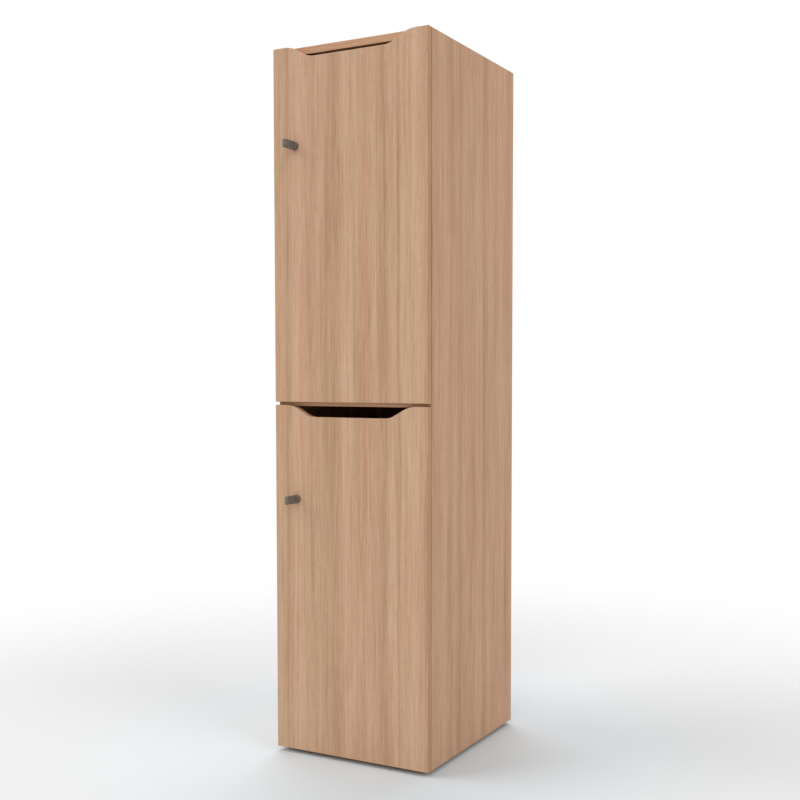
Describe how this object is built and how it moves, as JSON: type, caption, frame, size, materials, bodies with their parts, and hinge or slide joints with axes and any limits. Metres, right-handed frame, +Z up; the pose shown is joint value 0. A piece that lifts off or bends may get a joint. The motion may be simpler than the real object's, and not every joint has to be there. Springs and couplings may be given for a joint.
{
  "type": "staff locker",
  "caption": "Narrow wooden locker with stacked doors on concealed hinges, shallow cut-outs in their top edges, cam latches with turn knobs, coat hooks and levelling feet.",
  "frame": {"origin": "on the floor, under the middle of the whole width and depth, at the bottom of the foot pads", "axes": "+Z up, -Y the way the doors face, +X to the right seen from the front, where the hinges are"},
  "size_m": [0.45, 0.55, 1.82],
  "materials": {
    "oak_board": "oak-faced board, fine straight upright grain, matt",
    "beech_dowel": "plain turned beech",
    "zinc_fitting": "bright zinc plating",
    "satin_steel": "satin steel",
    "hinge_steel": "nickel-plated pressed steel",
    "soft_buffer": "soft translucent buffer",
    "dark_knob": "dark brown-grey, satin",
    "pad_plastic": "black moulded plastic, matt"
  },
  "bodies": {
    "carcass": {"left_side_panel": "oak_board", "right_side_panel": "oak_board", "top_panel": "oak_board", "divider_panel": "oak_board", "base_panel": "oak_board", "back_panel": "oak_board", "panel_dowels": "beech_dowel", "cam_bolts": "zinc_fitting", "cam_fittings": "zinc_fitting", "foot_sleeves": "zinc_fitting", "strike_screws": "zinc_fitting", "hinge_plate_screws": "zinc_fitting", "hinge_arm_screws": "zinc_fitting", "coat_hook_screws": "zinc_fitting", "upper_coat_hook": "satin_steel", "lower_coat_hook": "satin_steel", "upper_strike_plate": "satin_steel", "lower_strike_plate": "satin_steel", "door_buffers": "soft_buffer", "upper_hinge_plates": "hinge_steel", "upper_hinge_arms": "hinge_steel", "upper_hinge_pins": "hinge_steel", "lower_hinge_plates": "hinge_steel", "lower_hinge_arms": "hinge_steel", "lower_hinge_pins": "hinge_steel"},
    "upper_door": {"upper_door_panel": "oak_board", "upper_hinge_cups": "hinge_steel", "upper_cup_screws": "zinc_fitting", "upper_lock_housing": "dark_knob", "upper_lock_nut": "zinc_fitting"},
    "upper_latch": {"upper_turn_knob": "dark_knob", "upper_latch_cam": "zinc_fitting", "upper_cam_screw": "zinc_fitting"},
    "upper_outer_links_body": {"upper_outer_links": "hinge_steel"},
    "upper_inner_links_body": {"upper_inner_links": "hinge_steel"},
    "lower_door": {"lower_door_panel": "oak_board", "lower_hinge_cups": "hinge_steel", "lower_cup_screws": "zinc_fitting", "lower_lock_housing": "dark_knob", "lower_lock_nut": "zinc_fitting"},
    "lower_latch": {"lower_turn_knob": "dark_knob", "lower_latch_cam": "zinc_fitting", "lower_cam_screw": "zinc_fitting"},
    "lower_outer_links_body": {"lower_outer_links": "hinge_steel"},
    "lower_inner_links_body": {"lower_inner_links": "hinge_steel"},
    "foot_front_left": {"foot_pad_front_left": "pad_plastic", "foot_stem_front_left": "zinc_fitting"},
    "foot_front_right": {"foot_pad_front_right": "pad_plastic", "foot_stem_front_right": "zinc_fitting"},
    "foot_rear_left": {"foot_pad_rear_left": "pad_plastic", "foot_stem_rear_left": "zinc_fitting"},
    "foot_rear_right": {"foot_pad_rear_right": "pad_plastic", "foot_stem_rear_right": "zinc_fitting"}
  },
  "joints": [
    {"name": "upper_outer_link_swing", "type": "hinge", "parent": "carcass", "child": "upper_outer_links_body", "pos_m": [0.1975, -0.193, 1.37], "axis": [0, 0, 1], "range_deg": [-28, 0]},
    {"name": "upper_door_swing", "type": "hinge", "parent": "upper_outer_links_body", "child": "upper_door", "pos_m": [0.2152, -0.2125, 1.37], "axis": [0, 0, 1], "range_deg": [0, 128]},
    {"name": "upper_inner_link_swing", "type": "hinge", "parent": "carcass", "child": "upper_inner_links_body", "pos_m": [0.1905, -0.205, 1.37], "axis": [0, 0, 1], "range_deg": [-36.5, 0]},
    {"name": "upper_knob_turn", "type": "hinge", "parent": "upper_door", "child": "upper_latch", "pos_m": [-0.1585, -0.225, 1.57], "axis": [0, -1, 0], "range_deg": [0, 90]},
    {"name": "lower_outer_link_swing", "type": "hinge", "parent": "carcass", "child": "lower_outer_links_body", "pos_m": [0.1975, -0.193, 0.462], "axis": [0, 0, 1], "range_deg": [-28, 0]},
    {"name": "lower_door_swing", "type": "hinge", "parent": "lower_outer_links_body", "child": "lower_door", "pos_m": [0.2152, -0.2125, 0.462], "axis": [0, 0, 1], "range_deg": [0, 128]},
    {"name": "lower_inner_link_swing", "type": "hinge", "parent": "carcass", "child": "lower_inner_links_body", "pos_m": [0.1905, -0.205, 0.462], "axis": [0, 0, 1], "range_deg": [-36.5, 0]},
    {"name": "lower_knob_turn", "type": "hinge", "parent": "lower_door", "child": "lower_latch", "pos_m": [-0.1585, -0.225, 0.67], "axis": [0, -1, 0], "range_deg": [0, 90]},
    {"name": "foot_front_left_screw", "type": "slide", "parent": "carcass", "child": "foot_front_left", "axis": [0, 0, 1], "range_m": [-0.01, 0.003]},
    {"name": "foot_front_right_screw", "type": "slide", "parent": "carcass", "child": "foot_front_right", "axis": [0, 0, 1], "range_m": [-0.01, 0.003]},
    {"name": "foot_rear_left_screw", "type": "slide", "parent": "carcass", "child": "foot_rear_left", "axis": [0, 0, 1], "range_m": [-0.01, 0.003]},
    {"name": "foot_rear_right_screw", "type": "slide", "parent": "carcass", "child": "foot_rear_right", "axis": [0, 0, 1], "range_m": [-0.01, 0.003]}
  ],
  "couplings": [
    {"joint": "upper_outer_link_swing", "follows": "upper_door_swing", "ratio": -0.217},
    {"joint": "upper_inner_link_swing", "follows": "upper_door_swing", "ratio": -0.282},
    {"joint": "lower_outer_link_swing", "follows": "lower_door_swing", "ratio": -0.217},
    {"joint": "lower_inner_link_swing", "follows": "lower_door_swing", "ratio": -0.282}
  ]
}
